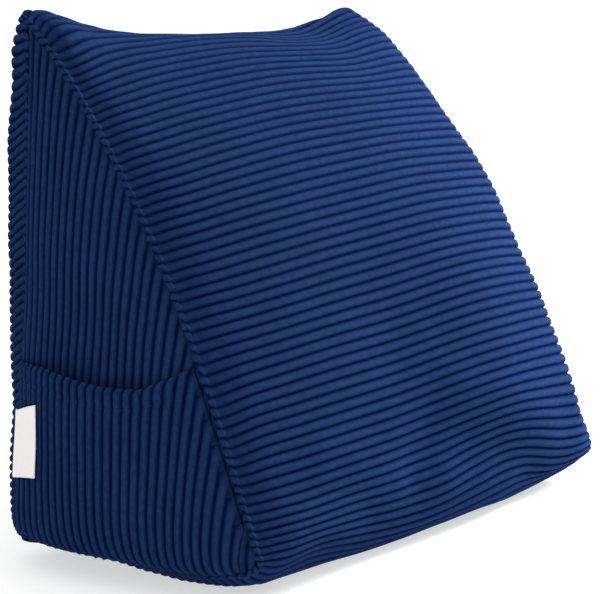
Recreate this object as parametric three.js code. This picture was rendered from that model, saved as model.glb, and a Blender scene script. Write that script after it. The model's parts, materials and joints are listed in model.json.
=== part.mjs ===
import * as THREE from 'three';

// Wedge pillow in wide-wale corduroy, in millimetres. X runs along its width, the reading
// slope faces -Y, the back faces +Y, and the base rests on Z = 0.

// One long strip of cloth makes the back, slope and bottom. These are the two loops it
// follows: the seam at each side panel, and the fuller section half way along. The corners
// run rear, apex, toe. Each span bows outwards, and lean moves the bow to its first corner.
const seamCorners = [
  { y: 95, z: 22, round: 14 },
  { y: 96, z: 359, round: 8 },
  { y: -104, z: 17, round: 14 },
];
const seamBows = [
  { bow: -3, lean: 0 },
  { bow: 23, lean: 0.25 },
  { bow: 6, lean: 0 },
];
const middleCorners = [
  { y: 104, z: 0, round: 30 },
  { y: 112, z: 356, round: 58 },
  { y: -115, z: 0, round: 50 },
];
const middleBows = [
  { bow: 11, lean: 0 },
  { bow: 32, lean: 0.5 },
  { bow: 0, lean: 0 },
];

// Half widths at the rear, apex and toe. The pillow narrows to its top edge.
const halfWidths = { left: [228, 212, 227], right: [226, 198, 229] };
const rightEarDrop = 12;
const earReach = 0.12;

// The crown: a share of the fullness rolls up beside the seam, the rest is a shallow dome.
const rollShares = { spans: [0.8, 0.45, 1], corners: [0.7, 0, 0.9] };
const rollReaches = [30, 34, 70];
const domePower = 2.2;
const cornerReach = 0.13;
const pressedFlat = 2;

// Steps along each span and round each corner of a loop.
const spanSteps = 80;
const bendSteps = 24;

// Corduroy: a rib and its groove are one pitch. The ribs drift over the top edge half way
// along, so that some of the slope's ribs pass to the back there.
const ribCounts = { strip: [49, 60, 30], side: 30 };
const ribHeight = 1.7;
const grooveShare = 0.2;
const ribDrift = { left: -0.01, middle: -0.1, right: -0.07 };
const ribPhases = [0, grooveShare, 1 - grooveShare];
const ribFadeHeight = 10;
const bottomSteps = 10;
const acrossSteps = [-1, -0.97, -0.91, -0.8, -0.55, -0.2, 0.2, 0.55, 0.8, 0.91, 0.97, 1];

// Side panels: let in beside the seam, then puffed out, less steeply under the slope's seam.
const sideInset = { across: 3, deep: 2, toe: 5, rear: 1 };
const sidePuff = { left: 16, right: 18 };
const puffReach = 20;
const slopeLean = 0.5;
const ringMargin = 0.01;
const sideRows = [0, 0.05, 0.14, 0.3, 0.5, 0.7, 0.86, 0.95, 1];

// The patch pocket on the left side panel, caught in the seams and open along the top.
const pocket = {
  front: 0.08,
  rear: 0.965,
  mouthFront: 0.3,
  thickness: 1.6,
  clearance: 1,
  gape: 13,
  footLift: 3,
  mouth: { front: 142, rear: 132, dip: 13 },
  topRow: 0.96,
  rows: [0, 0.06, 0.14, 0.26, 0.44, 0.64, 0.84, 1],
};

// The bare tab, its rear edge caught in the rear seam and the rest lying on the pocket.
const tab = {
  front: 0.86,
  rear: 0.998,
  bottom: 56,
  height: 50,
  thickness: 1,
  clearance: 1.2,
  columns: [0, 0.25, 0.5, 0.75, 0.84, 1],
  rows: [0, 0.25, 0.5, 0.75, 1],
};

// Arc-length table of a rounded triangle, with its corners at the marks.
function makeLoop(corners, bows) {
  const tips = corners.map((c) => new THREE.Vector2(c.y, c.z));
  const centre = new THREE.Vector2();
  tips.forEach((tip) => centre.addScaledVector(tip, 1 / 3));
  const spans = tips.map((tip, i) => {
    const next = tips[(i + 1) % 3];
    const run = next.clone().sub(tip);
    const outward = new THREE.Vector2(run.y, -run.x).normalize();
    if (outward.dot(tip.clone().add(next).multiplyScalar(0.5).sub(centre)) < 0) outward.negate();
    const first = corners[i].round / run.length();
    const last = 1 - corners[(i + 1) % 3].round / run.length();
    return Array.from({ length: spanSteps + 1 }, (_, k) => {
      const t = first + ((last - first) * k) / spanSteps;
      const rise = bows[i].bow * 4 * t * (1 - t) * (1 + bows[i].lean * (1 - 2 * t));
      return tip.clone().addScaledVector(run, t).addScaledVector(outward, rise);
    });
  });
  const bends = spans.map((span, i) => {
    const before = spans[(i + 2) % 3];
    const start = before[spanSteps];
    const into = start.clone().sub(before[spanSteps - 1]);
    const out = span[1].clone().sub(span[0]);
    const gap = span[0].clone().sub(start);
    const reach = gap.cross(out) / into.cross(out);
    const control = start.clone().addScaledVector(into, reach);
    return new THREE.QuadraticBezierCurve(start, control, span[0]).getPoints(bendSteps);
  });
  const points = [];
  const marks = [];
  const halfBend = bendSteps / 2;
  spans.forEach((span, i) => {
    const bend = bends[i];
    if (i > 0) points.push(...bend.slice(1, halfBend));
    marks.push(points.length);
    points.push(...bend.slice(halfBend, bendSteps), ...span);
  });
  points.push(...bends[0].slice(1, halfBend + 1));
  marks.push(points.length - 1);
  const lengths = [0];
  for (let k = 1; k < points.length; k += 1) {
    lengths.push(lengths[k - 1] + points[k].distanceTo(points[k - 1]));
  }
  return { points, lengths, marks };
}

// Point of a loop at a place from 0 (rear) through 1 (apex) and 2 (toe) to 3.
function loopPoint(loop, place) {
  const span = Math.min(Math.floor(place), 2);
  const from = loop.lengths[loop.marks[span]];
  const to = loop.lengths[loop.marks[span + 1]];
  const target = from + (to - from) * (place - span);
  let low = loop.marks[span];
  let high = loop.marks[span + 1];
  while (high - low > 1) {
    const half = (low + high) >> 1;
    if (loop.lengths[half] <= target) low = half;
    else high = half;
  }
  const part = (target - loop.lengths[low]) / (loop.lengths[high] - loop.lengths[low]);
  return loop.points[low].clone().lerp(loop.points[high], THREE.MathUtils.clamp(part, 0, 1));
}

const seamLoop = makeLoop(seamCorners, seamBows);
const middleLoop = makeLoop(middleCorners, middleBows);

// A value given at the corners, mixed along each span.
function alongLoop(values, place) {
  const span = Math.min(Math.floor(place), 2);
  return THREE.MathUtils.lerp(values[span], values[(span + 1) % 3], place - span);
}

// A value of the span, giving way to the corner's value near each corner.
function spanOrCorner(spans, corners, place) {
  const span = Math.min(Math.floor(place), 2);
  const t = place - span;
  const first = Math.exp(-((t / cornerReach) ** 2));
  const last = Math.exp(-(((1 - t) / cornerReach) ** 2));
  return spans[span] * (1 - first - last) + corners[span] * first + corners[(span + 1) % 3] * last;
}

// Where the cloth at a place of the strip lies on the loop.
function driftedPlace(place, across) {
  const { left, middle, right } = ribDrift;
  const drift = middle + ((right - left) / 2) * across
    + ((left + right) / 2 - middle) * across ** 2;
  const nearApex = Math.max(0, 1 - Math.abs(place - 1));
  return place + drift * nearApex ** 2 * (3 - 2 * nearApex);
}

// Point of the strip's smooth surface, across from -1 (left seam) to 1 (right seam).
function stripPoint(place, across) {
  const laid = (place + 3) % 3;
  const seam = loopPoint(seamLoop, laid);
  const middle = loopPoint(middleLoop, laid);
  const half = alongLoop(across < 0 ? halfWidths.left : halfWidths.right, laid);
  const inFromSeam = (1 - Math.abs(across)) * half;
  const share = spanOrCorner(rollShares.spans, rollShares.corners, laid);
  const reach = spanOrCorner(rollReaches, rollReaches, laid);
  const roll = 1 - Math.max(0, 1 - inFromSeam / reach) ** 3;
  const dome = 1 - Math.abs(across) ** domePower;
  const lift = share * roll + (1 - share) * dome;
  const ear = Math.exp(-(((laid - 1) / earReach) ** 2)) * Math.max(0, across) ** 6;
  const point = seam.lerp(middle, lift);
  const z = Math.max(0, point.y - rightEarDrop * ear - pressedFlat);
  return new THREE.Vector3(across * half, point.x, z);
}

// Outward normal of a surface function of two values.
function normalOf(surface, a, b, stepA, stepB) {
  const alongA = surface(a + stepA, b).sub(surface(a - stepA, b));
  const alongB = surface(a, b + stepB).sub(surface(a, b - stepB));
  return alongA.cross(alongB).normalize();
}

// Rib profile: 0 in the groove, 1 on the rib's broad top.
function ribProfile(phase) {
  const fromGroove = Math.abs(phase - Math.round(phase));
  return THREE.MathUtils.smoothstep(fromGroove, 0, grooveShare);
}

// Point of the ribbed strip at a place in the cloth.
function ribbedStripPoint(place, phase, across) {
  const laid = driftedPlace(place, across);
  const point = stripPoint(laid, across);
  const safe = THREE.MathUtils.clamp(across, -0.995, 0.995);
  const normal = normalOf(stripPoint, laid, safe, 0.004, 0.004);
  const fade = THREE.MathUtils.smoothstep(point.z, 0, ribFadeHeight);
  const depth = ribHeight * fade * (1 - ribProfile(phase));
  point.addScaledVector(normal, -depth);
  point.z = Math.max(0, point.z);
  return { point, place: (laid + 3) % 3 };
}

// The strip's places in the cloth, with the rib phase at each.
function stripPlaces() {
  const places = [];
  ribCounts.strip.forEach((count, span) => {
    if (span === 2) {
      for (let k = 0; k < bottomSteps; k += 1) places.push({ place: 2 + k / bottomSteps, phase: 0.5 });
      return;
    }
    for (let rib = 0; rib < count; rib += 1) {
      ribPhases.forEach((phase) => places.push({ place: span + (rib + phase) / count, phase }));
    }
  });
  return places;
}

// The seam loop's upper edge (apex to toe) and lower edge (toe to rear) at a column of the
// side panel, from 0 at the toe to 1 at the rear.
function sideColumn(column) {
  const toeY = seamCorners[2].y + sideInset.toe;
  const topY = THREE.MathUtils.lerp(toeY, seamCorners[1].y - sideInset.rear, column);
  const footY = THREE.MathUtils.lerp(toeY, seamCorners[0].y - sideInset.rear, column);
  return { top: placeAtY(topY, 1, 2), foot: placeAtY(footY, 2, 3) };
}

// Place on the seam loop between two corners where its Y has a given value.
function placeAtY(y, first, last) {
  const falling = loopPoint(seamLoop, first + 0.02).x > loopPoint(seamLoop, last - 0.02).x;
  let low = first;
  let high = last;
  for (let k = 0; k < 24; k += 1) {
    const mid = (low + high) / 2;
    const value = loopPoint(seamLoop, mid).x;
    if (value > y === falling) low = mid;
    else high = mid;
  }
  return (low + high) / 2;
}

// Point of a side panel's smooth surface: side is -1 for the left panel and 1 for the
// right one, row runs from the foot to the top edge, and proud stands off the panel.
function sidePoint(side, column, row, proud) {
  const { top, foot } = sideColumn(column);
  const topEdge = loopPoint(seamLoop, top);
  const footEdge = loopPoint(seamLoop, foot);
  const rearBow = -seamBows[0].bow * 4 * row * (1 - row) * column ** 4;
  const inwards = sideInset.across * (1 - 2 * column);
  const y = THREE.MathUtils.lerp(footEdge.x, topEdge.x, row) - rearBow + inwards;
  const low = footEdge.y + sideInset.across;
  const high = Math.max(low + 2, topEdge.y - 2 * sideInset.across);
  const z = THREE.MathUtils.lerp(low, high, row);
  const widths = side < 0 ? halfWidths.left : halfWidths.right;
  const half = THREE.MathUtils.lerp(alongLoop(widths, foot), alongLoop(widths, top), row);
  const fromTop = (high - z) * slopeLean;
  const fromFoot = z - low;
  const fromRear = (1 - column) * (seamCorners[0].y - seamCorners[2].y);
  const distances = [fromTop, fromFoot, fromRear];
  const puffed = distances.reduce((f, d) => f * (1 - Math.exp(-d / puffReach)), 1);
  const puff = (side < 0 ? sidePuff.left : sidePuff.right) * puffed;
  const drop = side > 0 ? rightEarDrop * row ** 8 * column : 0;
  return new THREE.Vector3(side * (half - sideInset.deep + puff + proud), y, z - pressedFlat - drop);
}

// Place of a closed ring's next point, one turn on after its last.
function nextPlace(ring, i) {
  return i + 1 < ring.length ? ring[i + 1].place : ring[0].place + 3;
}

// Triangles between two closed rings that run the same way, joined in order of place.
function joinRings(outer, inner, flip) {
  const faces = [];
  let i = 0;
  let k = 0;
  while (i < outer.length || k < inner.length) {
    const a = outer[i % outer.length];
    const b = inner[k % inner.length];
    const nextA = i < outer.length ? nextPlace(outer, i) : Infinity;
    const nextB = k < inner.length ? nextPlace(inner, k) : Infinity;
    if (nextA <= nextB) {
      i += 1;
      const c = outer[i % outer.length];
      faces.push(flip ? [a.index, b.index, c.index] : [a.index, c.index, b.index]);
    } else {
      k += 1;
      const c = inner[k % inner.length];
      faces.push(flip ? [a.index, b.index, c.index] : [a.index, c.index, b.index]);
    }
  }
  return faces;
}

// Faces of a grid of vertex indices, closed round its first direction if asked.
function gridFaces(grid, flip, closed) {
  const faces = [];
  const last = closed ? grid.length : grid.length - 1;
  for (let i = 0; i < last; i += 1) {
    const next = (i + 1) % grid.length;
    for (let j = 0; j + 1 < grid[i].length; j += 1) {
      const quad = [grid[i][j], grid[next][j], grid[next][j + 1], grid[i][j + 1]];
      if (flip) quad.reverse();
      faces.push([quad[0], quad[1], quad[2]], [quad[0], quad[2], quad[3]]);
    }
  }
  return faces;
}

// A mesh from its points and faces.
function solid(name, points, faces, material) {
  const geometry = new THREE.BufferGeometry();
  const positions = new Float32Array(points.flatMap((p) => [p.x, p.y, p.z]));
  geometry.setAttribute('position', new THREE.BufferAttribute(positions, 3));
  geometry.setIndex(faces.flat());
  geometry.computeVertexNormals();
  const mesh = new THREE.Mesh(geometry, material);
  mesh.name = name;
  return mesh;
}

// Columns of a side panel from toe to rear, three to a rib.
function sideColumns(first, last) {
  const columns = [];
  for (let rib = 0; rib < ribCounts.side; rib += 1) {
    ribPhases.forEach((phase) => {
      const column = (rib + phase) / ribCounts.side;
      if (column >= first && column <= last) columns.push({ column, phase });
    });
  }
  return columns;
}

// The filled cushion: ribbed strip, two ribbed side panels and the seams between them.
function makeCushion(material) {
  const points = [];
  const add = (point) => points.push(point) - 1;
  const rim = { left: [], right: [] };
  const strip = stripPlaces().map(({ place, phase }) => acrossSteps.map((across) => {
    const ribbed = ribbedStripPoint(place, phase, across);
    const index = add(ribbed.point);
    if (across === -1) rim.left.push({ index, place: ribbed.place });
    if (across === 1) rim.right.push({ index, place: ribbed.place });
    return index;
  }));
  const faces = gridFaces(strip, false, true);
  [-1, 1].forEach((side) => {
    const panel = sideColumns(0, 1).concat({ column: 1, phase: 0 }).map(({ column, phase }) => {
      const indices = sideRows.map((row) => {
        const proud = ribHeight * (ribProfile(phase) - 1);
        return add(sidePoint(side, column, row, proud));
      });
      return { indices, ...sideColumn(column) };
    });
    faces.push(...gridFaces(panel.map((c) => c.indices), side < 0, false));
    const outer = (side < 0 ? rim.left : rim.right).slice().sort((a, b) => a.place - b.place);
    faces.push(...joinRings(outer, panelRing(panel), side < 0));
  });
  return solid('cushion', points, faces, material);
}

// The edge of a side panel as a ring that runs rear, apex, toe and back.
function panelRing(panel) {
  const lastRow = sideRows.length - 1;
  const rear = panel[panel.length - 1];
  const toe = panel[0];
  const ring = [];
  sideRows.forEach((row, k) => {
    const place = THREE.MathUtils.lerp(ringMargin, rear.top - ringMargin, row);
    ring.push({ index: rear.indices[k], place });
  });
  for (let c = panel.length - 2; c >= 0; c -= 1) {
    ring.push({ index: panel[c].indices[lastRow], place: panel[c].top });
  }
  for (let k = lastRow - 1; k >= 1; k -= 1) {
    ring.push({ index: toe.indices[k], place: THREE.MathUtils.lerp(toe.foot, toe.top, sideRows[k]) });
  }
  for (let c = 0; c < panel.length - 1; c += 1) {
    ring.push({ index: panel[c].indices[0], place: panel[c].foot });
  }
  return ring;
}

// Row of the left side panel at a column and a height.
function rowAtHeight(column, z) {
  const foot = sidePoint(-1, column, 0, 0).z;
  const top = sidePoint(-1, column, 1, 0).z;
  return (z - foot) / (top - foot);
}

// Height of the pocket's open edge at a column, front to rear.
function mouthHeight(column) {
  const t = THREE.MathUtils.clamp((column - pocket.mouthFront) / (pocket.rear - pocket.mouthFront), 0, 1);
  const sag = pocket.mouth.dip * Math.sin(Math.PI * t ** 0.65);
  return THREE.MathUtils.lerp(pocket.mouth.front, pocket.mouth.rear, t) - sag;
}

// How far the pocket stands off the side panel, for t from the foot to the open edge.
function pocketGape(column, t) {
  const across = (column - pocket.mouthFront) / (pocket.rear - pocket.mouthFront);
  return across <= 0 || across >= 1 ? 0 : pocket.gape * Math.sqrt(Math.sin(Math.PI * across) * t);
}

// A thin closed sheet from its inner and outer surfaces, given at the same columns.
function sheetSolid(name, inner, outer, material) {
  const points = [...inner.flat(), ...outer.flat()];
  const rows = inner[0].length;
  const innerGrid = inner.map((column, c) => column.map((_, r) => c * rows + r));
  const outerGrid = innerGrid.map((column) => column.map((index) => index + inner.length * rows));
  const edge = (grid) => [
    ...grid.map((column) => column[0]),
    ...grid[grid.length - 1].slice(1, -1),
    ...grid.map((column) => column[rows - 1]).reverse(),
    ...grid[0].slice(1, -1).reverse(),
  ];
  const outerEdge = edge(outerGrid);
  const wall = edge(innerGrid).map((index, k) => [index, outerEdge[k]]);
  const faces = [
    ...gridFaces(outerGrid, true, false),
    ...gridFaces(innerGrid, false, false),
    ...gridFaces(wall, true, true),
  ];
  return solid(name, points, faces, material);
}

// The ribbed patch pocket.
function makePocket(material) {
  const inner = [];
  const outer = [];
  sideColumns(pocket.front, pocket.rear).forEach(({ column, phase }) => {
    const height = sidePoint(-1, column, 1, 0).z - sidePoint(-1, column, 0, 0).z;
    const footRow = pocket.footLift / height;
    const mouthRow = Math.min(rowAtHeight(column, mouthHeight(column)), pocket.topRow);
    const stand = (t) => pocket.clearance + pocketGape(column, t);
    const raised = pocket.thickness + ribHeight * ribProfile(phase);
    const rowAt = (t) => THREE.MathUtils.lerp(footRow, mouthRow, t);
    inner.push(pocket.rows.map((t) => sidePoint(-1, column, rowAt(t), stand(t))));
    outer.push(pocket.rows.map((t) => sidePoint(-1, column, rowAt(t), stand(t) + raised)));
  });
  return sheetSolid('side_pocket', inner, outer, material);
}

// The bare tab, which dips from the pocket's ribs into the seam.
function makeTab(material) {
  const onPocket = pocket.clearance + pocket.thickness + ribHeight + tab.clearance;
  const inner = [];
  const outer = [];
  tab.columns.forEach((t) => {
    const column = THREE.MathUtils.lerp(tab.front, tab.rear, t);
    const proud = column < pocket.rear ? onPocket : tab.clearance;
    const at = (up, extra) => {
      const z = tab.bottom + tab.height * up;
      const gape = pocketGape(Math.min(column, pocket.rear), z / pocket.mouth.rear);
      return sidePoint(-1, column, rowAtHeight(column, z), proud + gape + extra);
    };
    inner.push(tab.rows.map((up) => at(up, 0)));
    outer.push(tab.rows.map((up) => at(up, tab.thickness)));
  });
  return sheetSolid('seam_tab', inner, outer, material);
}

const navyCord = new THREE.MeshStandardMaterial({ color: 0x24407a, roughness: 0.95 });
const navyCordPocket = new THREE.MeshStandardMaterial({ color: 0x1c3060, roughness: 0.95 });
const paleTape = new THREE.MeshStandardMaterial({ color: 0xe9e4e2, roughness: 0.7 });

const pillow = new THREE.Group();
pillow.add(makeCushion(navyCord));
pillow.add(makePocket(navyCordPocket));
pillow.add(makeTab(paleTape));

export default pillow;
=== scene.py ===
import json
import math

import bpy
import numpy as np
from mathutils import Matrix, Vector

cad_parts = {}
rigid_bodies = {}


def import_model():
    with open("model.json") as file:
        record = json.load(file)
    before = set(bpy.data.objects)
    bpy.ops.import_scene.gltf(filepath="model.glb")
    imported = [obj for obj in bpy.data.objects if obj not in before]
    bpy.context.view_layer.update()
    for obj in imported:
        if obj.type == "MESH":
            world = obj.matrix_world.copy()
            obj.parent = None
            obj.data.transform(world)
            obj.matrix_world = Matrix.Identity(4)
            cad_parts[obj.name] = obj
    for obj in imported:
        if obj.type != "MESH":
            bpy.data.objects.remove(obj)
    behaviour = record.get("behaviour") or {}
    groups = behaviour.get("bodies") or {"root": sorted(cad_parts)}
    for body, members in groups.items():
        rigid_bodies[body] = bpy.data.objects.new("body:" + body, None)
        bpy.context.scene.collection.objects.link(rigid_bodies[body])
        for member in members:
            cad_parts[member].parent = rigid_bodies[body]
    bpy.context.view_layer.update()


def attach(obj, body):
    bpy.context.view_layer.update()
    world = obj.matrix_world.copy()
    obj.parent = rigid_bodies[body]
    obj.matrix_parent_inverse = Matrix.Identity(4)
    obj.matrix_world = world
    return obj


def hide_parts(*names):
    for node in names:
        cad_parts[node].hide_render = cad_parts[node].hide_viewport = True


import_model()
mm = 0.001


# the camera stands off the pocket's corner of the pillow, a little above it
cameraSetup = {
    "lens": 153.9,
    "azimuth": -57.51,
    "elevation": 8.773,
    "roll": 0.761,
    "distance": 1.7722,
    "slide": -0.01564,
    "lift": -0.02197,
    "aimHeight": 0.178,
}


def makeCamera(setup):
    azimuth, elevation, roll = (math.radians(setup[k]) for k in ("azimuth", "elevation", "roll"))
    level = math.cos(elevation)
    back = Vector((math.sin(azimuth) * level, -math.cos(azimuth) * level, math.sin(elevation)))
    right = (-back).cross(Vector((0, 0, 1))).normalized()
    up = right.cross(-back)
    across = right * math.cos(roll) + up * math.sin(roll)
    upright = up * math.cos(roll) - right * math.sin(roll)
    place = Vector((0, 0, setup["aimHeight"])) + back * setup["distance"]
    place += across * setup["slide"] + upright * setup["lift"]
    data = bpy.data.cameras.new("productCamera")
    data.lens = setup["lens"]
    data.clip_start, data.clip_end = 0.05, 50
    camera = bpy.data.objects.new("productCamera", data)
    bpy.context.scene.collection.objects.link(camera)
    turn = Matrix((across, upright, back)).transposed().to_4x4()
    camera.matrix_world = Matrix.Translation(place) @ turn
    bpy.context.scene.camera = camera


makeCamera(cameraSetup)
print("camera placed")


# a shader socket that takes plain arithmetic
class Socket:
    def __init__(self, paint, link):
        self.paint, self.link = paint, link

    def maths(self, operation, *values, **settings):
        return self.paint.node("ShaderNodeMath", {"operation": operation, **settings}, values)

    def __add__(self, other):
        return self.maths("ADD", self, other)

    def __sub__(self, other):
        return self.maths("SUBTRACT", self, other)

    def __rsub__(self, other):
        return self.maths("SUBTRACT", other, self)

    def __mul__(self, other):
        return self.maths("MULTIPLY", self, other)

    __radd__ = __add__
    __rmul__ = __mul__

    def kept(self):
        return self.maths("ADD", self, 0.0, use_clamp=True)


class Paint:
    def __init__(self, name):
        self.material = bpy.data.materials.new(name)
        self.material.use_nodes = True
        self.tree = self.material.node_tree
        self.tree.nodes.clear()

    def node(self, kind, settings=None, values=(), out=0):
        made = self.tree.nodes.new(kind)
        for key, value in (settings or {}).items():
            setattr(made, key, value)
        pairs = values.items() if isinstance(values, dict) else enumerate(values)
        for key, value in pairs:
            if isinstance(value, Socket):
                self.tree.links.new(value.link, made.inputs[key])
            else:
                made.inputs[key].default_value = value
        return Socket(self, made.outputs[out]) if made.outputs else None

    def place(self):
        return self.node("ShaderNodeTexCoord", out="Object")

    def attribute(self, name):
        return self.node("ShaderNodeAttribute", {"attribute_name": name}, out="Fac")

    def noise(self, at, scale, detail, rough):
        values = {"Vector": at, "Scale": scale, "Detail": detail, "Roughness": rough}
        return self.node("ShaderNodeTexNoise", {}, values)

    # 0 below low, 1 above high, smooth between
    def spread(self, value, low, high):
        return self.node("ShaderNodeMapRange", {"interpolation_type": "SMOOTHSTEP"},
                         {"Value": value, "From Min": low, "From Max": high})

    def stretched(self, at, scale):
        return self.node("ShaderNodeMapping", {}, {"Vector": at, "Scale": scale})

    def blend(self, mask, first, second):
        return self.node("ShaderNodeMix", {"data_type": "RGBA"}, {0: mask, 6: first, 7: second}, out=2)

    def bump(self, height, distance, strength, below=None):
        values = {"Height": height, "Distance": distance, "Strength": strength}
        if below is not None:
            values["Normal"] = below
        return self.node("ShaderNodeBump", {}, values)

    def cloth(self, color, roughness, normal, sheen, sheenTint, specular):
        shader = self.node("ShaderNodeBsdfPrincipled", {}, {
            "Base Color": color, "Roughness": roughness, "Normal": normal,
            "Sheen Weight": sheen, "Sheen Roughness": 0.35, "Sheen Tint": sheenTint,
            "Specular IOR Level": specular})
        self.node("ShaderNodeOutputMaterial", {}, {"Surface": shader})
        return self.material


class Tree:
    def __init__(self, name, inputs):
        self.group = bpy.data.node_groups.new(name, "GeometryNodeTree")
        self.group.interface.new_socket("Geometry", in_out="INPUT", socket_type="NodeSocketGeometry")
        self.group.interface.new_socket("Geometry", in_out="OUTPUT", socket_type="NodeSocketGeometry")
        self.ids = {}
        for label, kind in inputs.items():
            made = self.group.interface.new_socket(label, in_out="INPUT", socket_type="NodeSocket" + kind)
            self.ids[label] = made.identifier
        self.start = self.group.nodes.new("NodeGroupInput")
        self.end = self.group.nodes.new("NodeGroupOutput")

    def given(self, label):
        return self.start.outputs[label]

    def node(self, kind, settings=None, values=(), out=0):
        made = self.group.nodes.new(kind)
        for key, value in (settings or {}).items():
            setattr(made, key, value)
        pairs = values.items() if isinstance(values, dict) else enumerate(values)
        for key, value in pairs:
            if isinstance(value, bpy.types.NodeSocket):
                self.group.links.new(value, made.inputs[key])
            else:
                made.inputs[key].default_value = value
        return made.outputs[out]

    def maths(self, operation, *values):
        return self.node("ShaderNodeMath", {"operation": operation}, values)

    def field(self, name):
        return self.node("GeometryNodeInputNamedAttribute", {"data_type": "FLOAT"}, {"Name": name})

    def finish(self, geometry, material):
        whole = self.node("GeometryNodeRealizeInstances", {}, [geometry])
        dressed = self.node("GeometryNodeSetMaterial", {}, {"Geometry": whole, "Material": material})
        self.group.links.new(dressed, self.end.inputs[0])

    # runs the tree on a piece and gives the result as a plain mesh
    def result(self, piece, settings):
        modifier = piece.modifiers.new(self.group.name, "NODES")
        modifier.node_group = self.group
        for label, value in settings.items():
            modifier[self.ids[label]] = value
        bpy.context.view_layer.update()
        live = piece.evaluated_get(bpy.context.evaluated_depsgraph_get())
        mesh = bpy.data.meshes.new_from_object(live)
        piece.modifiers.clear()
        return mesh

    # the piece keeps the result in place of its own mesh
    def applyTo(self, piece, settings):
        old = piece.data
        piece.data = self.result(piece, settings)
        bpy.data.meshes.remove(old)

    # the result becomes a new piece, and the guide line it was laid along goes
    def meshFrom(self, guide, name, settings):
        mesh = self.result(guide, settings)
        mesh.name = name
        mesh.shade_smooth()
        piece = bpy.data.objects.new(name, mesh)
        bpy.context.scene.collection.objects.link(piece)
        bpy.data.objects.remove(guide)
        return piece


def linkMesh(name, points, faces, fields=None):
    mesh = bpy.data.meshes.new(name)
    mesh.from_pydata(np.asarray(points).tolist(), [], faces)
    for label, values in (fields or {}).items():
        made = mesh.attributes.new(label, "FLOAT", "POINT")
        made.data.foreach_set("value", np.asarray(values, dtype=np.float32))
    mesh.shade_smooth()
    piece = bpy.data.objects.new(name, mesh)
    bpy.context.scene.collection.objects.link(piece)
    return piece


# the wedge's shape, in millimetres
wedge = {
    "seamCorners": [(95, 18, 16), (96, 359, 8), (-104, 17, 14)],  # rear, apex, toe: y, z, rounding
    "seamBows": [(-3, 0), (23, 0.25), (6, 0)],  # how far each span bows out, and its lean
    "middleCorners": [(104, 0, 30), (112, 356, 58), (-115, 0, 50)],
    "middleBows": [(11, 0), (32, 0.5), (0, 0)],
    "tuckedToe": (-137, 0, 88),  # the right half rolls under further at the toe
    "tuckAcross": (-0.25, 0.45),
    "leftHalf": (228, 212, 227),
    "rightHalf": (226, 198, 229),
    "rightEarDrop": 12,
    "earReach": 0.12,
    "rollSpans": (0.8, 0.55, 1),
    "rollCorners": (0.7, 0, 0.9),
    "rollReaches": {-1: (30, 85, 70), 1: (30, 60, 70)},
    "domePower": 2.2,
    "cornerReach": 0.13,
    "crown": {-1: (16, 8), 1: (12, 12)},  # how far the slope's middle stands up: the curve, then the step
    "crownStep": {-1: 60, 1: 20},
    "crownSide": 0.1,
    "crownPower": 0.8,
    "crownPush": (0.86, 0.5),  # forward and up, out of the slope
    "pressedFlat": 2,
    "sidePuff": {-1: 16, 1: 18},
    "puffReach": (20, 10, 20),  # from the slope, the foot and the rear
    "sideInset": (3, 2, 5, 1),  # across, deep, toe, rear
    "slopeLean": 0.5,
    "topAcross": (-1, -0.82, -0.67, -0.53, -0.2, 0.2, 0.36, 0.5, 0.66, 0.8, 0.95, 1),
    "topLift": (1.5, 2.5, 1.2, 0.2, 0, -1.6, -2.8, -4, -3.6, -2.6, 0, 0),  # the top edge's own line
    "topReach": 0.12,
    "basePlaces": (2, 2.2, 2.35, 2.5, 2.62, 2.8, 3),
    "baseReach": {-1: (95, 90, 60, 75, 110, 130, 135), 1: (60, 62, 66, 70, 74, 80, 90)},  # seam to floor
    "baseRound": {-1: (1, 1, 1, 1, 0.5, 0, 0), 1: (0, 0, 0, 0, 0, 0, 0)},  # 1 where the cloth bellies down
    "basePower": 1.5,
    "swellPlaces": (0, 0.15, 0.3, 0.55, 0.75, 0.93, 1),  # up the back
    "backSwell": (0, -2, -5.5, -2, 2, 9.5, 6),  # how far the back stands out just inside its seams
    "backSwellAt": 13,
    "backSwellReach": 24,
    "earCentre": (82, 330),
    "earSwell": {-1: 5.5, 1: 0},  # the top corners are stuffed round
    "earRound": 34,
}

# creases on the slope: from and to in place and across, then depth and reach
creases = [
    (1.045, 0.26, 1.02, 0.98, 2.4, 11),
    (1.901, -0.22, 1.848, -0.05, 2.4, 13),
    (1.848, -0.05, 2.0, 0.6, 3.4, 15),
    (1.86, -0.80, 1.97, -0.35, 1.4, 12),
]
creaseRidge = {"height": 0.45, "at": 1.9}  # ridges beside a crease, against its depth and its reach

# fuller and slacker places on the slope: place and across, then reach in each, and how far in mm
bulges = [
    (1.80, -0.62, 0.12, 0.25, 2.0),
    (1.93, 0.72, 0.06, 0.18, -3.0),
]

# where the ribs run off their straight course: place and across, then reach in each, and how far
swerves = [
    (1.08, 0.45, 0.16, 0.30, 0.032),
    (1.12, 1.0, 0.28, 0.42, -0.028),
    (1.93, 0.33, 0.08, 0.26, -0.012),
    (1.95, 1.0, 0.11, 0.48, 0.036),
    (1.38, -1.0, 0.36, 0.60, -0.014),
    (1.35, -1.0, 0.35, 0.10, -0.005),
    (1.76, -1.0, 0.12, 0.10, 0.012),
]

cord = {
    "backRibs": 54,
    "slopeRibs": 64,
    "baseRibs": 30,
    "sideRibs": 30,
    "height": 2.1,
    "grooveShare": 0.2,
    "roundness": 0.5,  # share of a rib's height that is its rounded top
    "phases": (0, 0.07, 0.15, 0.27, 0.5, 0.73, 0.85, 0.93),
    "basePhases": (0, 0.14, 0.5, 0.86),
    "driftLeft": -0.01,
    "driftMiddle": -0.1,
    "driftRight": -0.07,
    "waver": 0.08,  # how far a rib wanders, in ribs
}


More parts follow.
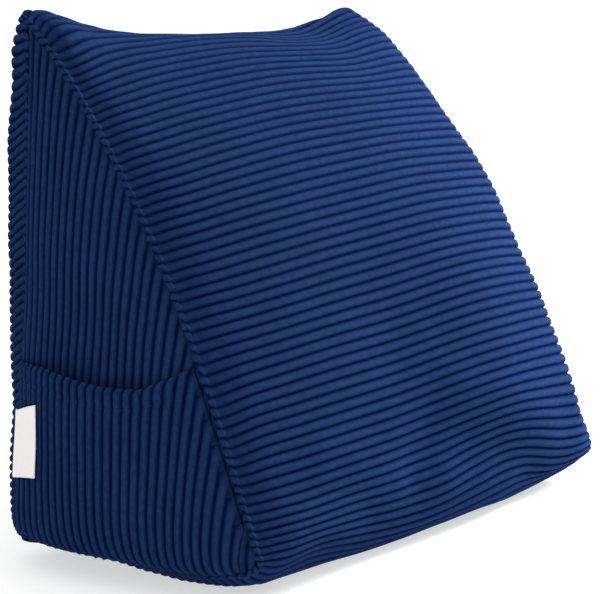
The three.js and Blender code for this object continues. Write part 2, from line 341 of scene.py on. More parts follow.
def smoothstep(value, low, high):
    t = np.clip((value - low) / (high - low), 0, 1)
    return t * t * (3 - 2 * t)


# how far the filling pushes the cloth about, found further down and kept in these tables
fullTables = {}


def fromTable(table, u, v):
    i = np.clip(np.floor(u).astype(int), 0, table.shape[0] - 2)
    j = np.clip(np.floor(v).astype(int), 0, table.shape[1] - 2)
    a, b = np.clip(u - i, 0, 1)[..., None], np.clip(v - j, 0, 1)[..., None]
    low = table[i, j] * (1 - b) + table[i, j + 1] * b
    high = table[i + 1, j] * (1 - b) + table[i + 1, j + 1] * b
    return low * (1 - a) + high * a


def stripFullness(place, across):
    if "strip" not in fullTables:
        return 0.0
    table, rowPlaces, columnAcross = fullTables["strip"]
    place, across = np.broadcast_arrays(place, across)
    u = np.interp(place, rowPlaces, np.arange(len(rowPlaces)))
    v = np.interp(across, columnAcross, np.arange(len(columnAcross)))
    return fromTable(table, u, v)


def sideFullness(side, column, row):
    if side not in fullTables:
        return 0.0
    table = fullTables[side]
    column, row = np.broadcast_arrays(column, row)
    return fromTable(table, column * (table.shape[0] - 1), row * (table.shape[1] - 1))


# the foot of the cover is drawn up in places: x and y, reach in each, then how far
under = {
    "rises": [(-180, -106, 75, 22, 21), (-85, -104, 95, 26, 3.5), (229, -104, 62, 60, 5.5),
              (-226, 97, 30, 20, 7), (-215, 5, 30, 40, 3)],
    "fades": 75,
}


def settled(points):
    x, y, z = points[..., 0], points[..., 1], points[..., 2]
    rise = 0
    for atX, atY, reachX, reachY, amount in under["rises"]:
        rise = rise + amount * np.exp(-((x - atX) / reachX) ** 2 - ((y - atY) / reachY) ** 2)
    lifted = points.copy()
    lifted[..., 2] = z + rise * np.maximum(0, 1 - z / under["fades"]) ** 2
    return lifted


def makeLoop(corners, bows, spanSteps=160, bendSteps=48):
    tips = np.array([c[:2] for c in corners], float)
    centre = tips.mean(axis=0)
    spans = []
    for i in range(3):
        tip, following = tips[i], tips[(i + 1) % 3]
        run = following - tip
        length = np.linalg.norm(run)
        outward = np.array([run[1], -run[0]]) / length
        if np.dot(outward, (tip + following) / 2 - centre) < 0:
            outward = -outward
        t = np.linspace(corners[i][2] / length, 1 - corners[(i + 1) % 3][2] / length, spanSteps + 1)[:, None]
        bow, lean = bows[i]
        spans.append(tip + run * t + outward * bow * 4 * t * (1 - t) * (1 + lean * (1 - 2 * t)))
    bends = []
    for i in range(3):
        before, after = spans[i - 1], spans[i]
        into, out, gap = before[-1] - before[-2], after[1] - after[0], after[0] - before[-1]
        reach = (gap[0] * out[1] - gap[1] * out[0]) / (into[0] * out[1] - into[1] * out[0])
        control = before[-1] + into * reach
        t = np.linspace(0, 1, bendSteps + 1)[:, None]
        bends.append((1 - t) ** 2 * before[-1] + 2 * t * (1 - t) * control + t ** 2 * after[0])
    half = bendSteps // 2
    points, marks = [], []
    for i in range(3):
        if i > 0:
            points += list(bends[i][1:half])
        marks.append(len(points))
        points += list(bends[i][half:bendSteps]) + list(spans[i])
    points += list(bends[0][1:half + 1])
    marks.append(len(points) - 1)
    points = np.array(points)
    lengths = np.concatenate([[0], np.cumsum(np.linalg.norm(np.diff(points, axis=0), axis=1))])
    return {"points": points, "lengths": lengths, "marks": lengths[marks]}


seamLoop = makeLoop(wedge["seamCorners"], wedge["seamBows"])
middleLoop = makeLoop(wedge["middleCorners"], wedge["middleBows"])
tuckedLoop = makeLoop([*wedge["middleCorners"][:2], wedge["tuckedToe"]], wedge["middleBows"])


# place runs 0 rear foot, 1 apex, 2 toe, 3 rear foot again
def loopPoint(loop, place):
    target = np.interp(place, [0, 1, 2, 3], loop["marks"])
    return np.stack([np.interp(target, loop["lengths"], loop["points"][:, k]) for k in (0, 1)], axis=-1)


def alongLoop(values, place):
    return np.interp(place, [0, 1, 2, 3], [*values, values[0]])


def spanOrCorner(spans, corners, place):
    span = np.clip(np.floor(place), 0, 2).astype(int)
    t = place - span
    first = np.exp(-(t / wedge["cornerReach"]) ** 2)
    last = np.exp(-((1 - t) / wedge["cornerReach"]) ** 2)
    spans, corners = np.array(spans, float), np.array(corners, float)
    return spans[span] * (1 - first - last) + corners[span] * first + corners[(span + 1) % 3] * last


# a value for the left half, kept under -1, and one for the right half, under 1
def bySide(across, values):
    return np.where(across < 0, values[-1], values[1])


def halfWidth(place, across):
    laid = np.mod(place, 3)
    return np.where(across < 0, alongLoop(wedge["leftHalf"], laid), alongLoop(wedge["rightHalf"], laid))


def stripPoint(place, across):
    laid = np.mod(place, 3)
    seam, middle = loopPoint(seamLoop, laid), loopPoint(middleLoop, laid)
    tuck = smoothstep(across, *wedge["tuckAcross"]) * smoothstep(laid, 1.1, 1.7)
    middle = middle + (loopPoint(tuckedLoop, laid) - middle) * np.broadcast_to(tuck, laid.shape)[..., None]
    half = halfWidth(laid, across)
    inFromSeam = (1 - np.abs(across)) * half
    share = spanOrCorner(wedge["rollSpans"], wedge["rollCorners"], laid)
    reach = np.where(across < 0, *(spanOrCorner(wedge["rollReaches"][k], wedge["rollReaches"][k], laid)
                                   for k in (-1, 1)))
    roll = 1 - np.maximum(0, 1 - inFromSeam / reach) ** 3
    dome = 1 - np.abs(across) ** wedge["domePower"]
    lift = (share * roll + (1 - share) * dome)[..., None]
    ear = np.exp(-((laid - 1) / wedge["earReach"]) ** 2) * np.maximum(0, across) ** 6
    top = np.interp(across, wedge["topAcross"], wedge["topLift"])
    top = top * np.exp(-((laid - 1) / wedge["topReach"]) ** 2)
    point = seam * (1 - lift) + middle * lift
    z = np.maximum(0, point[..., 1] - wedge["rightEarDrop"] * ear - wedge["pressedFlat"] + top)
    offSeam = (inFromSeam - wedge["backSwellAt"]) / wedge["backSwellReach"]
    floorReach, belly = (np.where(across < 0, np.interp(laid, wedge["basePlaces"], wedge[name][-1]),
                                  np.interp(laid, wedge["basePlaces"], wedge[name][1]))
                         for name in ("baseReach", "baseRound"))
    left = np.clip(1 - inFromSeam / floorReach, 0, 1)
    curved = left ** wedge["basePower"] * (1 - belly) + (1 - np.sqrt(1 - left ** 2)) * belly
    curved = curved * np.maximum(0, seam[..., 1])
    underside = smoothstep(laid, 2.0, 2.1) * smoothstep(-laid, -3.0, -2.93)
    z = np.maximum(z, curved * underside * (1 - (1 - np.abs(across)) ** 2))
    swell = np.interp(laid, wedge["swellPlaces"], wedge["backSwell"])
    swell = swell * np.exp(-np.minimum(offSeam, 0) ** 2 * 4 - np.maximum(offSeam, 0) ** 2)
    onBack = smoothstep(laid, 0.02, 0.12) * smoothstep(-laid, -1.04, -0.98)
    fromSeam = smoothstep(inFromSeam, 0, wedge["backSwellAt"])
    y = point[..., 0] + swell * onBack * fromSeam
    earY, earZ = y - wedge["earCentre"][0], z - wedge["earCentre"][1]
    stuffed = bySide(across, wedge["earSwell"])
    stuffed = stuffed * smoothstep(inFromSeam, 0, 12) * np.exp(-(inFromSeam / wedge["earRound"]) ** 2)
    stuffed = stuffed * np.exp(-(earY ** 2 + earZ ** 2) / wedge["earRound"] ** 2)
    outwards = np.maximum(1, np.hypot(earY, earZ))
    y, z = y + stuffed * earY / outwards, z + stuffed * earZ / outwards
    aside = (across - wedge["crownSide"]) / (1 + np.sign(across - wedge["crownSide"]) * -wedge["crownSide"])
    crown = 0
    for side, there in ((-1, across < 0), (1, across >= 0)):
        curve, step = wedge["crown"][side]
        rise = curve * (1 - aside ** 2) + step * (1 - np.exp(-(inFromSeam / wedge["crownStep"][side]) ** 2))
        crown = crown + there * rise
    crown = crown * np.sin(np.pi * np.clip(laid - 1, 0, 1)) ** wedge["crownPower"]
    for at, side, alongReach, asideReach, amount in bulges:
        near = ((laid - at) / alongReach) ** 2 + ((across - side) / asideReach) ** 2
        crown = crown + amount * np.exp(-near)
    forward, upward = wedge["crownPush"]
    y, z = y - crown * forward, z + crown * upward
    fullness = stripFullness(laid, across)
    return settled(np.stack([across * half, y, z], axis=-1) + fullness)


def normalOf(surface, a, b, step=0.004):
    alongA = surface(a + step, b) - surface(a - step, b)
    alongB = surface(a, b + step) - surface(a, b - step)
    normal = np.cross(alongA, alongB)
    return normal / np.maximum(np.linalg.norm(normal, axis=-1, keepdims=True), 1e-9)


# slow uneven waves, the same on every run
def wander(a, b, seed):
    total = 0
    for k in range(4):
        turn = seed * 1.7 + k * 2.4
        slant = a * (1.3 + 0.9 * k) * math.cos(turn) + b * (1.7 + 0.8 * k) * math.sin(turn)
        total = total + np.sin(slant + seed + k)
    return total / 4


# distance of a strip's point from a crease, in millimetres, and how far along it lies
def offCrease(place, across, crease):
    length, width = 300.0, 215.0
    a = np.array([crease[0] * length, crease[1] * width])
    b = np.array([crease[2] * length, crease[3] * width])
    run = b - a
    u, v = place * length - a[0], across * width - a[1]
    t = (u * run[0] + v * run[1]) / np.dot(run, run)
    return (u * run[1] - v * run[0]) / np.linalg.norm(run), t


def creaseDepth(place, across):
    depth = 0
    for crease in creases:
        off, t = offCrease(place, across, crease)
        ends = smoothstep(t, -0.25, 0.2) * smoothstep(-t, -1.25, -0.8)
        deep, reach = crease[4:]
        depth = depth + deep * np.exp(-(off / reach) ** 2) * ends
        beside = (np.abs(off) - creaseRidge["at"] * reach) / reach
        depth = depth - creaseRidge["height"] * deep * np.exp(-beside ** 2) * ends
    return depth


def driftedPlace(place, across):
    left, middle, right = cord["driftLeft"], cord["driftMiddle"], cord["driftRight"]
    drift = middle + (right - left) / 2 * across + ((left + right) / 2 - middle) * across ** 2
    nearApex = np.maximum(0, 1 - np.abs(place - 1))
    inTurn = cord["waver"] * wander(place * 9, across * 5, 3) / cord["slopeRibs"]
    for at, aside, alongReach, asideReach, amount in swerves:
        near = ((place - at) / alongReach) ** 2 + ((across - aside) / asideReach) ** 2
        inTurn = inTurn + amount * np.exp(-near)
    return place + drift * nearApex ** 2 * (3 - 2 * nearApex) + inTurn


cover = {
    "fromSeam": (6.2, 7.2, 8.4, 10, 12, 15, 19, 24, 30, 37),  # columns beside each seam
    "middleColumns": 36,
    "weltRadius": 2.1,
    "weltPlaces": (0, 0.06, 0.94, 1.02, 1.09, 1.9, 2.1, 2.88, 3),
    "weltSunk": {-1: (8, 6.6, 5, 3, 1.2, 1.2, 1.8, 3.2, 8), 1: (6, 3.2, 3.2, 3.2, 3.2, 3.2, 3.2, 3.2, 6)},
    "weltTurn": (-75, -45, -10, 25, 60, 95, 130, 155),
    "weltUneven": 0.9,
    "weltRibs": 0.8,  # the welt's beads against the ribs' height
    "weltSlant": 0.14,  # how far a bead leans along the seam, in ribs
    "channelDepth": {-1: 2.2, 1: 0.2},
    "channelWidth": 4.0,
    "channelFrom": 7.5,
    "shoulderPlaces": (1, 1.2, 1.28, 1.37, 1.47, 1.58, 1.7, 1.9, 2.1),
    "rightShoulder": (6, 0.8, -0.5, 1.5, 0.7, -4.4, -2.4, -2.2, 2),  # swells again past the channel
    "leftShoulder": 4.5,
    "shoulderReach": {-1: 75, 1: 62},
    "sideRows": 46,
    "seamCalm": 0.55,  # the slope's ribs are lower where they run into a seam
    "calmReach": 22,
    "pucker": 0.3,  # ribs stand higher where the seam gathers them
    "puckerReach": 26,
}


def stripRows():
    place, phase, gap = [], [], []
    counts = (cord["backRibs"], cord["slopeRibs"], cord["baseRibs"])
    for span, count in enumerate(counts):
        for rib in range(count):
            for part in cord["basePhases"] if span == 2 else cord["phases"]:
                place.append(span + (rib + part) / count)
                phase.append(part)
                gap.append(1 / count)
    return np.array(place), np.array(phase), np.array(gap)


def makeStrip():
    place, phase, ribGap = stripRows()
    rows = len(place)
    radius = cover["weltRadius"]
    rowPlace = place[:, None]

    def body(across):
        laid = driftedPlace(rowPlace, across)
        point = stripPoint(laid, across)
        safe = np.clip(across, -0.995, 0.995)
        normal = normalOf(stripPoint, laid, safe)
        inFromSeam = (1 - np.abs(across)) * halfWidth(laid, across)
        left = across < 0
        channel = np.exp(-((inFromSeam - cover["channelFrom"]) / cover["channelWidth"]) ** 2)
        channel = channel * bySide(across, cover["channelDepth"])
        reach = bySide(across, cover["shoulderReach"])
        shoulder = smoothstep(inFromSeam, 1, np.where(left, 30, 13)) * np.exp(-(inFromSeam / reach) ** 2)
        full = np.interp(laid, cover["shoulderPlaces"], cover["rightShoulder"])
        shoulder = shoulder * np.where(left, cover["leftShoulder"], full)
        shoulder = shoulder * smoothstep(np.minimum(laid, 2.15 - laid), 0, 0.12)
        sunk = channel - shoulder + creaseDepth(laid, across)
        point = point - normal * sunk[..., None]
        point[..., 2] = np.maximum(0, point[..., 2])
        return point, laid

    def welt(side):
        turns = np.radians(cover["weltTurn"])
        uneven = 1 + cover["weltUneven"] * np.sin(rowPlace * 331 + side) * np.sin(rowPlace * 97)
        lean = (np.degrees(turns) - 90) / 90 * cover["weltSlant"] * ribGap[:, None] * uneven
        edge = np.full((rows, len(turns)), float(side))
        laid = driftedPlace(rowPlace + lean, edge)
        seam = stripPoint(laid, edge)
        near = loopPoint(seamLoop, np.mod(laid + 0.002, 3)) - loopPoint(seamLoop, np.mod(laid - 0.002, 3))
        near = near / np.linalg.norm(near, axis=-1, keepdims=True)
        outward = np.stack([np.zeros_like(laid), -near[..., 1], near[..., 0]], axis=-1) * -1
        sunk = np.interp(np.mod(laid, 3), cover["weltPlaces"], cover["weltSunk"][side])
        centre = seam - outward * sunk[..., None]
        centre[..., 0] -= side * radius * 0.9
        thick = radius * (1 + cover["weltUneven"] * 0.35 * np.sin(rowPlace * 211 + 2) * np.cos(rowPlace * 43))
        reach = np.stack([side * np.cos(turns) * thick + 0 * laid, 0 * laid, 0 * laid], axis=-1)
        point = centre + reach + outward * (np.sin(turns) * thick)[..., None]
        point[..., 2] = np.maximum(point[..., 2], 0.2)
        return point, laid

    leftHalf, rightHalf = halfWidth(place, -1.0)[:, None], halfWidth(place, 1.0)[:, None]
    steps = np.array(cover["fromSeam"])[None, :]
    leftX, rightX = -leftHalf + steps, rightHalf - steps[:, ::-1]
    t = np.linspace(0, 1, cover["middleColumns"] + 2)[None, 1:-1]
    middleX = leftX[:, -1:] * (1 - t) + rightX[:, :1] * t
    x = np.concatenate([leftX, middleX, rightX], axis=1)
    across = np.where(x < 0, x / leftHalf, x / rightHalf)
    bodyPoints, bodyLaid = body(across)
    leftPoints, leftLaid = welt(-1)
    rightPoints, rightLaid = welt(1)
    points = np.concatenate([leftPoints, bodyPoints, rightPoints[:, ::-1]], axis=1)
    laid = np.concatenate([leftLaid, bodyLaid, rightLaid[:, ::-1]], axis=1)
    welted = np.zeros(points.shape[1])
    welted[:len(cover["weltTurn"])] = 1
    welted[-len(cover["weltTurn"]):] = 1
    return points, laid, phase, welted


# the side panel's upper and lower edges on the seam loop, by column from toe to rear
def sideEdges(column):
    corners, inset = wedge["seamCorners"], wedge["sideInset"]
    toeY = corners[2][0] + inset[2]
    topY = toeY + (corners[1][0] - inset[3] - toeY) * column
    footY = toeY + (corners[0][0] - inset[3] - toeY) * column
    samples = np.linspace(1, 2, 600)
    slope = loopPoint(seamLoop, samples)[:, 0]
    base = loopPoint(seamLoop, samples + 1)[:, 0]
    top = np.interp(topY, slope[::-1], samples[::-1])
    foot = np.interp(footY, base, samples + 1)
    return top, foot


def sidePoint(side, column, row, proud):
    inset = wedge["sideInset"]
    top, foot = sideEdges(column)
    topEdge, footEdge = loopPoint(seamLoop, top), loopPoint(seamLoop, foot)
    rearBow = -wedge["seamBows"][0][0] * 4 * row * (1 - row) * column ** 4
    y = footEdge[..., 0] * (1 - row) + topEdge[..., 0] * row - rearBow + inset[0] * (1 - 2 * column)
    low = footEdge[..., 1] + inset[0]
    high = np.maximum(low + 2, topEdge[..., 1] - 2 * inset[0])
    z = low * (1 - row) + high * row
    widths = wedge["leftHalf"] if side < 0 else wedge["rightHalf"]
    half = alongLoop(widths, foot) * (1 - row) + alongLoop(widths, top) * row
    fromTop, fromFoot = (high - z) * wedge["slopeLean"], z - low
    fromRear = (1 - column) * (wedge["seamCorners"][0][0] - wedge["seamCorners"][2][0])
    puffed = 1
    for distance, reach in zip((fromTop, fromFoot, fromRear), wedge["puffReach"]):
        puffed = puffed * (1 - np.exp(-np.maximum(distance, 0) / reach))
    puff = wedge["sidePuff"][side] * puffed
    drop = wedge["rightEarDrop"] * row ** 8 * column if side > 0 else 0
    lift = np.interp(float(side), wedge["topAcross"], wedge["topLift"])
    lift = lift * smoothstep(row, 0.7, 1) * column ** 4
    x = side * (half - inset[1] + puff + proud)
    smooth = np.stack([x, y, z - wedge["pressedFlat"] - drop + lift], axis=-1)
    return settled(smooth + sideFullness(side, column, row))


def makeSide(side):
    count = cord["sideRibs"]
    column = np.array([(rib + part) / count for rib in range(count) for part in cord["phases"]] + [1.0])
    phase = np.array(list(cord["phases"]) * count + [0.0])
    row = (1 - np.cos(np.linspace(0, np.pi, cover["sideRows"]))) / 2
    row = row * 0.6 + np.linspace(0, 1, cover["sideRows"]) * 0.4
    grid, rows = np.meshgrid(column, row, indexing="ij")
    wave = cord["waver"] * 1.5 * wander(grid * 7, rows * 6, 5 + side) / count
    wave = wave * np.sin(np.pi * grid) * np.minimum(1, 4 * rows * (1 - rows))
    return sidePoint(side, np.clip(grid + wave, 0, 1), rows, 0.0), column, phase


def joinRings(outer, inner, flip):
    faces, i, k = [], 0, 0

    def following(ring, at):
        return ring[at + 1][1] if at + 1 < len(ring) else ring[0][1] + 3

    while i < len(outer) or k < len(inner):
        a, b = outer[i % len(outer)][0], inner[k % len(inner)][0]
        nextA = following(outer, i) if i < len(outer) else math.inf
        nextB = following(inner, k) if k < len(inner) else math.inf
        if nextA <= nextB:
            i += 1
            c = outer[i % len(outer)][0]
        else:
            k += 1
            c = inner[k % len(inner)][0]
        faces.append((a, b, c) if flip else (a, c, b))
    return faces


def gridFaces(first, rows, columns, flip=False, closed=False):
    faces = []
    for i in range(rows if closed else rows - 1):
        here, there = first + i * columns, first + (i + 1) % rows * columns
        for j in range(columns - 1):
            quad = (here + j, there + j, there + j + 1, here + j + 1)
            faces.append(quad[::-1] if flip else quad)
    return faces


# the open edge of a side panel as a ring: up the rear, down the slope, back along the foot
def panelRing(first, column, rows):
    top, foot = sideEdges(column)
    columns, last = len(column), rows - 1
    ring = []
    for k in range(rows):
        ring.append((first + (columns - 1) * rows + k, 0.01 + (top[-1] - 0.02) * k / last))
    for c in range(columns - 2, -1, -1):
        ring.append((first + c * rows + last, top[c]))
    for k in range(last - 1, 0, -1):
        ring.append((first + k, foot[0] + (top[0] - foot[0]) * k / last))
    for c in range(columns - 1):
        ring.append((first + c * rows, foot[c]))
    return ring


def makeCover():
    strip, laid, stripPhase, welted = makeStrip()
    rows, columns = strip.shape[:2]
    points = [strip.reshape(-1, 3)]
    phase = [np.repeat(stripPhase, columns)]
    fade = smoothstep(strip[..., 2], 0.5, 9)
    fromSeam = np.minimum(strip[..., 0] - strip[:, :1, 0], strip[:, -1:, 0] - strip[..., 0])
    puckered = 1 + cover["pucker"] * np.exp(-(fromSeam / cover["puckerReach"]) ** 2)
    onSlope = smoothstep(laid, 0.97, 1.03) * smoothstep(-laid, -2.1, -2.0)
    drawnIn = 1 - cover["seamCalm"] * onSlope * (1 - smoothstep(fromSeam, 3, cover["calmReach"]))
    scale = [(fade * np.where(welted, cover["weltRibs"], puckered * drawnIn)).reshape(-1)]
    faces = gridFaces(0, rows, columns, closed=True)
    start = rows * columns
    for side in (-1, 1):
        panel, column, panelPhase = makeSide(side)
        count, high = panel.shape[:2]
        points.append(panel.reshape(-1, 3))
        phase.append(np.repeat(panelPhase, high))
        edge = np.minimum(np.arange(high), np.arange(high)[::-1])
        scale.append(np.tile(smoothstep(edge, -1.5, 3), count))
        faces += gridFaces(start, count, high, flip=side < 0)
        at = 0 if side < 0 else columns - 1
        outer = [(k * columns + at, float(laid[k, at]) % 3) for k in range(rows)]
        outer.sort(key=lambda pair: pair[1])
        faces += joinRings(outer, panelRing(start, column, high), side < 0)
        start += count * high
    points = np.concatenate(points) * mm
    fields = {"ribPhase": np.concatenate(phase), "ribScale": np.concatenate(scale)}
    return linkMesh("cushionCover", points, faces, fields)


# pressure in a coarse cage of the cover gives it uneven fullness
filling = {
    "backRows": 26,
    "slopeRows": 34,
    "baseRows": 12,
    "columns": 31,
    "sideColumns": 15,
    "sideRows": 19,
    "pressure": 4.0,
    "looseCloth": 0.035,  # the cloth is this much longer than the shape it covers
    "frames": 20,
    "cap": 7,
    "evened": 5,  # rounds of smoothing that find the slow part of the swelling
    "keptSlow": 0.15,
    "keptFast": 0.16,
    "quality": 6,
    "mass": 0.2,
    "stretchStiff": 20,
    "shearStiff": 8,
    "bendStiff": 0.4,
    "finer": 4,  # steps into which a cell of the cage is cut
}


def evened(table, rounds, closed=False):
    for _ in range(rounds):
        for axis in (0, 1):
            padded = np.moveaxis(table, axis, 0)
            if closed and axis == 0:
                before, after = np.roll(padded, 1, axis=0), np.roll(padded, -1, axis=0)
            else:
                before = np.concatenate([padded[:1], padded[:-1]])
                after = np.concatenate([padded[1:], padded[-1:]])
            table = np.moveaxis((before + 2 * padded + after) / 4, 0, axis)
    return table


def refined(table, times):
    for axis in (0, 1):
        count = table.shape[axis]
        at = np.linspace(0, count - 1, (count - 1) * times + 1)
        low = np.clip(np.floor(at).astype(int), 0, count - 2)
        part = (at - low)[:, None, None]
        moved = np.moveaxis(table, axis, 0)
        table = np.moveaxis(moved[low] * (1 - part) + moved[low + 1] * part, 0, axis)
    return evened(table, times)


def fillCushion():
    counts = (filling["backRows"], filling["slopeRows"], filling["baseRows"])
    places = np.concatenate([span + np.arange(count) / count for span, count in enumerate(counts)])
    across = np.sin(np.linspace(-1, 1, filling["columns"]) * np.pi / 2) * 0.75
    across = across + np.linspace(-1, 1, filling["columns"]) * 0.25
    rows, columns = len(places), len(across)
    strip = stripPoint(places[:, None] + 0 * across, across + 0 * places[:, None])
    points = [strip.reshape(-1, 3)]
    held = np.zeros((rows, columns))
    held[:, 0] = held[:, -1] = 1
    held = np.maximum(held, 1 - smoothstep(strip[..., 2], 2, 30))
    weights = [held.reshape(-1)]
    faces = gridFaces(0, rows, columns, closed=True)
    start = rows * columns
    sideColumn = np.linspace(0, 1, filling["sideColumns"])
    sideRow = np.linspace(0, 1, filling["sideRows"])
    shape = (filling["sideColumns"], filling["sideRows"])
    for side in (-1, 1):
        grid, high = np.meshgrid(sideColumn, sideRow, indexing="ij")
        panel = sidePoint(side, grid, high, 0.0)
        points.append(panel.reshape(-1, 3))
        pinned = np.zeros(shape)
        pinned[0, :] = pinned[-1, :] = pinned[:, 0] = pinned[:, -1] = 1
        weights.append(pinned.reshape(-1))
        faces += gridFaces(start, *shape, flip=side < 0)
        at = 0 if side < 0 else columns - 1
        faces += joinRings([(k * columns + at, place) for k, place in enumerate(places)],
                           panelRing(start, sideColumn, filling["sideRows"]), side < 0)
        start += grid.size
    rest = np.concatenate(points)
    cage = linkMesh("fillingCage", rest * mm, faces)
    group = cage.vertex_groups.new(name="held")
    for index, weight in enumerate(np.concatenate(weights)):
        group.add([index], float(weight), "REPLACE")
    cloth = cage.modifiers.new("cloth", "CLOTH")
    cloth.settings.quality = filling["quality"]
    cloth.settings.mass = filling["mass"]
    cloth.settings.tension_stiffness = cloth.settings.compression_stiffness = filling["stretchStiff"]
    cloth.settings.shear_stiffness = filling["shearStiff"]
    cloth.settings.bending_stiffness = filling["bendStiff"]
    cloth.settings.vertex_group_mass = "held"
    cloth.settings.use_pressure = True
    cloth.settings.uniform_pressure_force = filling["pressure"]
    cloth.settings.shrink_min = -filling["looseCloth"]
    cloth.settings.effector_weights.gravity = 0
    cloth.point_cache.frame_end = filling["frames"]
    scene = bpy.context.scene
    for step in range(1, filling["frames"] + 1):
        scene.frame_set(step)
    live = cage.evaluated_get(bpy.context.evaluated_depsgraph_get())
    swollen = np.empty(len(rest) * 3)
    live.data.vertices.foreach_get("co", swollen)
    moved = swollen.reshape(-1, 3) / mm - rest
    size = np.linalg.norm(moved, axis=1, keepdims=True)
    moved = moved * np.minimum(1, filling["cap"] / np.maximum(size, 1e-6))
    print("cloth moved up to", round(float(size.max()), 2), "mm, on average", round(float(size.mean()), 2))
    scene.frame_set(1)
    bpy.data.objects.remove(cage)

    def kept(table, closed):
        slow = evened(table, filling["evened"], closed)
        return slow * filling["keptSlow"] + (table - slow) * filling["keptFast"]

    stripMoved = kept(moved[:rows * columns].reshape(rows, columns, 3), True)
    stripMoved = np.concatenate([stripMoved, stripMoved[:1]])
    times = filling["finer"]
    fine = refined(stripMoved, times)
    finePlaces = np.interp(np.arange(fine.shape[0]) / times, np.arange(rows + 1), [*places, 3])
    fineAcross = np.interp(np.arange(fine.shape[1]) / times, np.arange(columns), across)
    start = rows * columns
    sides = {}
    for side in (-1, 1):
        panel = moved[start:start + shape[0] * shape[1]].reshape(*shape, 3)
        sides[side] = refined(kept(panel, False), times)
        start += shape[0] * shape[1]
    fullTables["strip"] = (fine, finePlaces, fineAcross)
    fullTables.update(sides)


def ribTree():
    tree = Tree("raiseRibs", {"Rib height": "Float", "Groove share": "Float", "Roundness": "Float",
                              "Cloth": "Material"})
    phase = tree.maths("FRACT", tree.field("ribPhase"))
    fromGroove = tree.maths("MINIMUM", phase, tree.maths("SUBTRACT", 1.0, phase))
    crest = tree.node("ShaderNodeMapRange", {"interpolation_type": "SMOOTHSTEP"},
                      {0: fromGroove, 1: 0.0, 2: tree.given("Groove share"), 3: 0.0, 4: 1.0})
    aside = tree.maths("SUBTRACT", 1.0, tree.maths("MULTIPLY", fromGroove, 2.0))
    fall = tree.maths("MULTIPLY", tree.maths("MULTIPLY", aside, aside), tree.given("Roundness"))
    flank = tree.maths("MULTIPLY", tree.maths("SUBTRACT", crest, 1.0),
                       tree.maths("SUBTRACT", 1.0, tree.given("Roundness")))
    dip = tree.maths("MULTIPLY", tree.maths("SUBTRACT", flank, fall), tree.given("Rib height"))
    dip = tree.maths("MULTIPLY", dip, tree.field("ribScale"))
    normal = tree.node("GeometryNodeInputNormal")
    offset = tree.node("ShaderNodeVectorMath", {"operation": "SCALE"}, {0: normal, "Scale": dip})
    raised = tree.node("GeometryNodeSetPosition", {}, {"Geometry": tree.given("Geometry"), "Offset": offset})
    # offCrest places the painted crest highlight and the painted groove shade; where ribs are lowered, at the
    # seams, the floor and the pocket's inner skin, it settles toward a flat mid tone
    kept = tree.maths("MINIMUM", tree.field("ribScale"), 1.0)
    shown = tree.maths("MULTIPLY_ADD", tree.maths("SUBTRACT", aside, 0.6), kept, 0.6)
    marked = tree.node("GeometryNodeStoreNamedAttribute", {"data_type": "FLOAT", "domain": "POINT"},
                       {"Geometry": raised, "Name": "offCrest", "Value": shown})
    tree.finish(marked, tree.given("Cloth"))
    return tree


def corduroyMaterial(name, crest, grooveGroundAndShade, sheen):
    paint = Paint(name)
    at = paint.place()
    offCrest = paint.attribute("offCrest")  # 0 along the top of a rib, 1 down in the groove
    # the grooves take a darker colour: the bare ground weave, darkened further as painted shade in the
    # grooves
    groove = paint.spread(offCrest, 0.40, 0.98)
    patches = paint.noise(at, 24.0, 4.0, 0.6)
    pile = paint.noise(at, 900.0, 2.0, 0.6)
    nap = paint.noise(paint.stretched(at, (190, 330, 330)), 1.0, 3.0, 0.6)
    body = paint.blend((patches * 5.0 - 2.0).kept(), [c * 0.9 for c in crest[:3]] + [1],
                       [c * 1.16 for c in crest[:3]] + [1])
    streaks = (nap * 6.0 - 2.5).kept()
    body = paint.blend(streaks * 0.55, body, [c * 0.74 for c in crest[:3]] + [1])
    # painted highlight: the rib tops are painted lighter and greyer, broken up by the nap's streaks
    crestHighlight = paint.blend(streaks * 0.8, [c * k for c, k in zip(crest, (1.5, 1.32, 1.2, 1))], crest)
    body = paint.blend(paint.spread(offCrest, 0.0, 0.7), crestHighlight, body)
    color = paint.blend(groove * 0.97, body, grooveGroundAndShade)
    bump = paint.bump(nap, 0.0006, 0.5)
    bump = paint.bump(pile, 0.0003, 0.6, bump)
    roughness = (0.86 + patches * 0.12).kept()
    return paint.cloth(color, roughness, bump, sheen, (0.05, 0.42, 1.0, 1), 0.006)


def tapeMaterial():
    paint = Paint("bareTape")
    at = paint.place()
    thread = paint.noise(paint.stretched(at, (400, 400, 3000)), 1.0, 2.0, 0.5)
    slub = paint.noise(at, 120.0, 2.0, 0.5)
    color = paint.blend((slub * 0.8).kept() * 0.4, (0.82, 0.78, 0.78, 1), (0.7, 0.66, 0.67, 1))
    bump = paint.bump(thread, 0.0002, 0.5)
    return paint.cloth(color, (0.5 + slub * 0.2).kept(), bump, 0.15, (1, 1, 1, 1), 0.4)


def threadMaterial():
    paint = Paint("navyThread")
    twist = paint.noise(paint.stretched(paint.place(), (2600, 2600, 900)), 1.0, 2.0, 0.5)
    color = paint.blend((twist * 1.3 - 0.15).kept(), (0.006, 0.019, 0.07, 1), (0.012, 0.03, 0.09, 1))
    return paint.cloth(color, (0.55 + twist * 0.2).kept(), paint.bump(twist, 0.0001, 0.5), 0.0,
                       (1, 1, 1, 1), 0.1)


